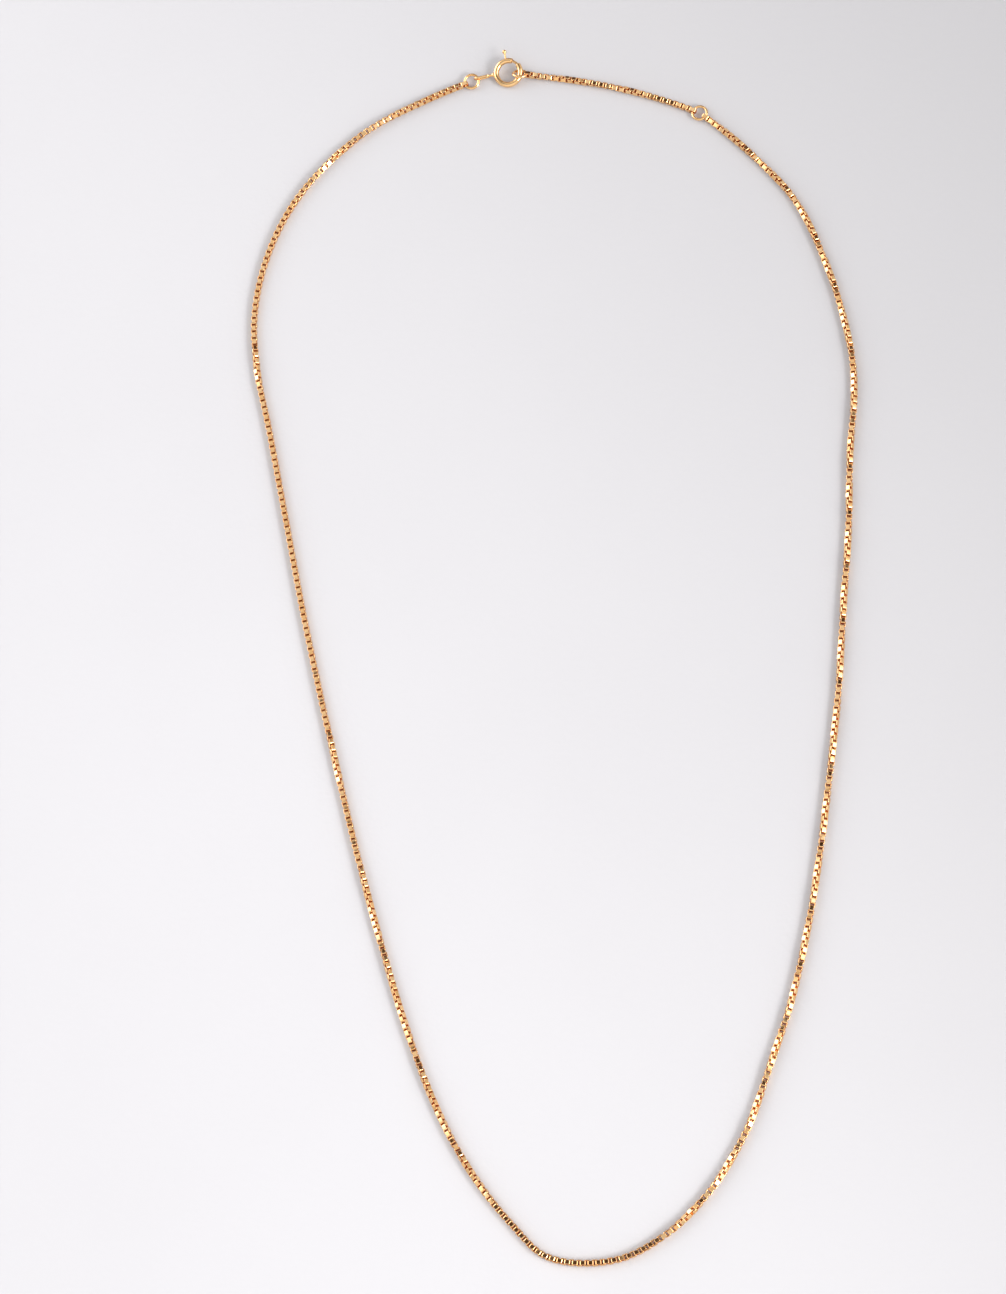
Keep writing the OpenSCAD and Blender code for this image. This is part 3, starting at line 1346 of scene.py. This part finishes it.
    def body(self) -> bpy.types.Object:
        """Builds the ring with its eye.

        Returns:
            The piece.
        """
        piece = fused(self._ring(), self._eye())
        piece.data.materials.clear()
        piece.data.materials.append(self.body_finish)
        finish_mesh(piece, self.place, self.body_crease)
        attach(piece, Body.NECKLACE.value)
        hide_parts("clasp_body")
        LOG.info("%s: ring, bead, neck and eye", piece.name)
        return piece

    def _trigger(self) -> bpy.types.Object:
        """Turns the stem and ball on the lathe, outwards from the bolt's middle.

        Returns:
            The trigger, in the clasp's own frame.
        """
        top = self.outside / 2 + self.ball_rise - self.bend
        ball, stem = self.ball / 2, self.stem / 2
        low = math.asin(stem * self.foot / ball)
        profile = [(0.0, 0.0), (stem, 0.0)]
        profile += [(stem * width, top - ball - below) for width, below in self.flare]
        for k in range(self.ball_steps + 1):
            angle = low + (math.pi - low) * k / self.ball_steps
            profile.append((ball * math.sin(angle), top - ball * math.cos(angle)))
        bm = bmesh.new()
        verts = [bm.verts.new((r, 0, z)) for r, z in profile]
        edges = [bm.edges.new(pair) for pair in itertools.pairwise(verts)]
        bmesh.ops.spin(
            bm,
            geom=verts + edges,
            cent=(0, 0, 0),
            axis=(0, 0, 1),
            angle=math.tau,
            steps=self.sides,
            use_merge=True,
        )
        bmesh.ops.remove_doubles(bm, verts=bm.verts, dist=MERGE)
        bmesh.ops.recalc_face_normals(bm, faces=bm.faces)
        outward = turn_about_z(self.trigger_at) @ Matrix.Translation((self.bend, 0, 0))
        bmesh.ops.transform(bm, matrix=outward @ quarter_turn("Y"), verts=bm.verts)
        return shown(mesh_of(bm, "trigger"), "trigger")

    def bolt_piece(self) -> bpy.types.Object:
        """Builds the bolt with its trigger.

        Returns:
            The piece.
        """
        bm = bmesh.new()
        end = self.trigger_at + self.bolt_tail
        rod_arc(bm, self.bend, self.bolt / 2, self.bolt_tip, end, self.sides)
        round_rims(bm, close_ends(bm), self.bolt_rounding)
        bmesh.ops.recalc_face_normals(bm, faces=bm.faces)
        piece = fused(shown(mesh_of(bm, "bolt"), "clasp_bolt_gold"), self._trigger())
        piece.data.materials.clear()
        piece.data.materials.append(self.bolt_finish)
        finish_mesh(piece, self.place, self.bolt_crease)
        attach(piece, Body.BOLT.value)
        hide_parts("clasp_bolt")
        LOG.info("%s: bolt, stem and ball", piece.name)
        return piece


# Studio


@dataclass(frozen=True)
class Panel:
    """A soft light in the studio.

    Attributes:
        name: Its name.
        at: Where it hangs, in metres.
        size: Its width and height.
        power: Its power, in watts.
        colour: Its colour.
        aim: The point that it faces.
    """

    name: str
    at: Triple
    size: tuple[float, float]
    power: float
    colour: Colour = (1.0, 1.0, 1.0)
    aim: Triple = (0.0, 0.0, 0.0)

    def hang(self) -> None:
        """Adds the light to the scene."""
        lamp = bpy.data.lights.new(self.name, "AREA")
        lamp.shape = "RECTANGLE"
        lamp.size, lamp.size_y = self.size
        lamp.energy = self.power
        lamp.color = self.colour
        item = bpy.data.objects.new(self.name, lamp)
        item.location = self.at
        away = Vector(self.aim) - Vector(self.at)
        item.rotation_euler = away.to_track_quat("-Z", "Y").to_euler()
        bpy.context.scene.collection.objects.link(item)
        LOG.info("%s: light", self.name)


# Tints of the room's bright places, and of the dark ones that gold mirrors brown
COOL: Colour = (0.985, 0.985, 1.0)
WARM: Colour = (1.0, 0.62, 0.48)


class Patch(NamedTuple):
    """A brighter or darker place on the studio's walls and ceiling.

    Attributes:
        towards: Its direction.
        inner: Half its angle, in degrees, where it is at its full strength.
        outer: Half its angle, in degrees, where it has faded out.
        level: How bright it is.
        tint: Its colour.
    """

    towards: Triple
    inner: float
    outer: float
    level: float
    tint: Colour = COOL

    @property
    def light(self) -> Colour:
        """Its tint at its brightness."""
        return tuple(self.level * part for part in self.tint)


@dataclass
class Studio:
    """The room: pale surface, soft lights, and the camera.

    Attributes:
        level: Light of the walls and ceiling.
        patches: Places that differ from it. Where two meet, the later one shows.
        panels: The lights.
        floor_half: Half the side of the pale surface, in metres.
        floor_parts: How many squares it has along a side.
        focal: Focal length in pixels of the photograph.
        picture: Width and height of the photograph in pixels.
        sensor: Long side of the camera's sensor, in millimetres.
        camera_at: Where the camera stands, in metres.
        looks_at: The point in the middle of the view, in metres.
        up: Direction that points up in the picture.
        clip: Nearest and farthest distance that the camera sees, in metres.
    """

    level: Colour = (0.74, 0.74, 0.75)
    patches: tuple[Patch, ...] = (
        # Soft light overhead, in front and on the upper left
        Patch((-0.24, 0.36, 0.90), 18, 34, 0.92),
        Patch((0.0, -0.87, 0.50), 20, 45, 1.12),
        Patch((-0.64, 0.06, 0.77), 11, 21, 1.9),
        # Dark places behind and overhead, which the flat faces of the links mirror
        Patch((-0.02, 0.97, 0.24), 13, 24, 0.12, WARM),
        Patch((0.33, 0.27, 0.91), 9.5, 14, 0.06, WARM),
        Patch((0.26, 0.60, 0.75), 10, 18, 0.12, WARM),
        Patch((-0.15, 0.12, 0.98), 7.0, 8.5, 0.08, WARM),
        Patch((-0.33, 0.05, 0.94), 7.0, 9.0, 0.08, WARM),
        # Bright windows on the left and on the right
        Patch((-0.86, 0.38, 0.34), 19, 32, 4.2),
        Patch((0.68, 0.10, 0.72), 9, 13, 2.8),
        Patch((0.88, -0.04, 0.48), 12, 22, 3.6),
        Patch((0.80, -0.42, 0.42), 12, 22, 3.0),
    )
    panels: tuple[Panel, ...] = (
        Panel("key", (0.81, -0.43, 0.60), (0.5, 0.3), 8.0, (1.0, 0.985, 0.97)),
    )
    floor_half: float = 6.0
    floor_parts: int = 8
    focal: float = 4125.0
    picture: tuple[int, int] = (1006, 1294)
    sensor: float = 36.0
    camera_at: Triple = (0.10628, -0.21273, 0.61268)
    looks_at: Triple = (-0.0077, -0.0028, 0.0)
    up: Triple = (0.0584, 0.9477, 0.3138)
    clip: tuple[float, float] = (0.01, 50.0)

    def floor(self) -> bpy.types.Object:
        """Lays the pale surface.

        Returns:
            The surface.
        """
        bm = bmesh.new()
        parts = self.floor_parts
        bmesh.ops.create_grid(bm, x_segments=parts, y_segments=parts, size=self.floor_half)
        surface = shown(mesh_of(bm, "pale_surface"), "pale_surface")
        surface.data.materials.append(Paper().material())
        LOG.info("%s: stage", surface.name)
        return surface

    def walls(self) -> None:
        """Lights the room from its walls and ceiling."""
        world = bpy.data.worlds.new("studio")
        bpy.context.scene.world = world
        shader = Shader(world)
        around = shader.node("ShaderNodeTexCoord", output="Generated")
        towards = shader.vector("NORMALIZE", around)
        light: Value = self.level
        for patch in self.patches:
            aim = tuple(Vector(patch.towards).normalized())
            along = shader.vector("DOT_PRODUCT", towards, aim, output="Value")
            inner, outer = (math.cos(math.radians(a)) for a in (patch.inner, patch.outer))
            light = shader.mix(along.between(outer, inner), light, patch.light)
        glow = shader.node("ShaderNodeBackground", {}, {"Color": light, "Strength": 1.0})
        shader.node("ShaderNodeOutputWorld", {}, {"Surface": glow})

    def camera(self) -> None:
        """Puts the camera at the photograph's angle."""
        lens = bpy.data.cameras.new("view")
        lens.sensor_width = self.sensor
        lens.lens = self.focal / max(self.picture) * self.sensor
        lens.clip_start, lens.clip_end = self.clip
        item = bpy.data.objects.new("view", lens)
        at = Vector(self.camera_at)
        back = (at - Vector(self.looks_at)).normalized()
        right = Vector(self.up).cross(back).normalized()
        item.matrix_world = axes_at(at, right, back.cross(right), back)
        bpy.context.scene.collection.objects.link(item)
        bpy.context.scene.camera = item

    def build(self) -> None:
        """Sets up the whole room."""
        self.floor()
        self.walls()
        for panel in self.panels:
            panel.hang()
        self.camera()
        bpy.context.scene.view_settings.view_transform = "Standard"


# Necklace


# Each ring, and where its wire's ends meet, in degrees
RINGS = (("extension_ring", 265.0), ("end_ring", 80.0), ("jump_ring", 100.0))


def main_route() -> Route:
    """Line of the main chain, from the extension ring to the clasp's jump ring.

    Returns:
        The line.
    """
    first, last = middle("extension_ring"), middle("jump_ring")
    points = [(x, y, first.z) for x, y in MAIN_ROUTE]
    return Route([*points, (last.x, last.y, first.z)])


def extender_route() -> Route:
    """Line of the extender, down from the leaning end ring.

    Returns:
        The line.
    """
    first, last = middle("end_ring"), middle("extension_ring")
    lifts = [(first.z - last.z) * EXTENDER_LIFT, *[0.0] * (len(EXTENDER_ROUTE) - 1)]
    points = [(x, y, last.z + lift) for (x, y), lift in zip(EXTENDER_ROUTE, lifts)]
    return Route([first, *points, last])


def main() -> None:
    """Builds the necklace and its studio, and reports each piece."""
    logging.basicConfig(level=logging.INFO, format="%(name)s: %(message)s")
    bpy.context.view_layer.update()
    strip = Gold("rolled_gold", Polish.ROLLED).material()
    wire = Gold("drawn_gold", Polish.DRAWN, roughness=0.08, wear=0.10, relief=0.003).material()
    cast = Gold("buffed_gold", Polish.BUFFED, roughness=0.07, wear=0.08, relief=0.003).material()
    BoxChain("main_chain", main_route(), MAIN_TWIST, strip).build()
    BoxChain("extender_chain", extender_route(), EXTENDER_TWIST, strip, seed=11).build()
    for node, joint_at in RINGS:
        JumpRing(node, wire, joint_at).build()
    clasp = SpringRing(cast, wire)
    clasp.body()
    clasp.bolt_piece()
    Studio().build()


if __name__ == "__main__":
    main()
